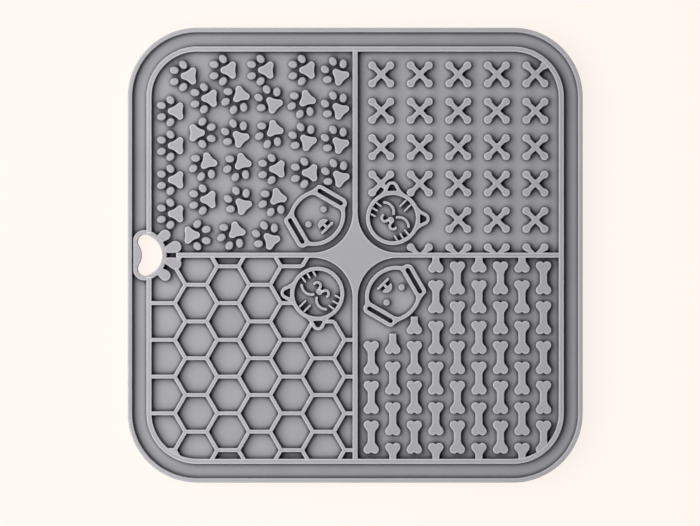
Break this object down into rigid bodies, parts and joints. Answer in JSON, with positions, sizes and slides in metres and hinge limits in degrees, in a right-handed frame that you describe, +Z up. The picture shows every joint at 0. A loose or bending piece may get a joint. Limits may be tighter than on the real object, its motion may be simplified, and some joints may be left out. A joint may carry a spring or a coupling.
{
  "type": "lick mat",
  "caption": "Square flexible silicone lick mat for a pet, with a rim, paw, cross, honeycomb and bone textures, animal faces, a hanging hole and suction cups.",
  "frame": {"origin": "middle of the mat in plan, at the level of the suction cups' lips", "axes": "+Z up out of the textured face, +X to the right and +Y to the top of the mat as pictured, with the hanging hole at -X"},
  "size_m": [0.2, 0.2, 0.0102],
  "materials": {
    "silicone": "matte"
  },
  "bodies": {
    "mat": {"base_sheet": "silicone", "outer_rim": "silicone", "inner_frame": "silicone", "divider_cross": "silicone", "hanging_collar": "silicone", "hanging_toes": "silicone", "paw_pads": "silicone", "paw_toes": "silicone", "cross_nubs": "silicone", "bone_nubs": "silicone", "honeycomb_ribs": "silicone", "dog_head_upper_left": "silicone", "dog_face_upper_left": "silicone", "dog_head_lower_right": "silicone", "dog_face_lower_right": "silicone", "cat_head_upper_right": "silicone", "cat_face_upper_right": "silicone", "cat_head_lower_left": "silicone", "cat_face_lower_left": "silicone", "cup_stems": "silicone"},
    "suction_cups": {"cup_skirts": "silicone"}
  },
  "joints": [
    {"name": "cup_press", "type": "slide", "parent": "mat", "child": "suction_cups", "axis": [0, 0, 1], "range_m": [0, 0.0016], "stiffness_N_per_m": 2000, "springref_m": -0.004, "deforming": ["cup_skirts"]}
  ]
}
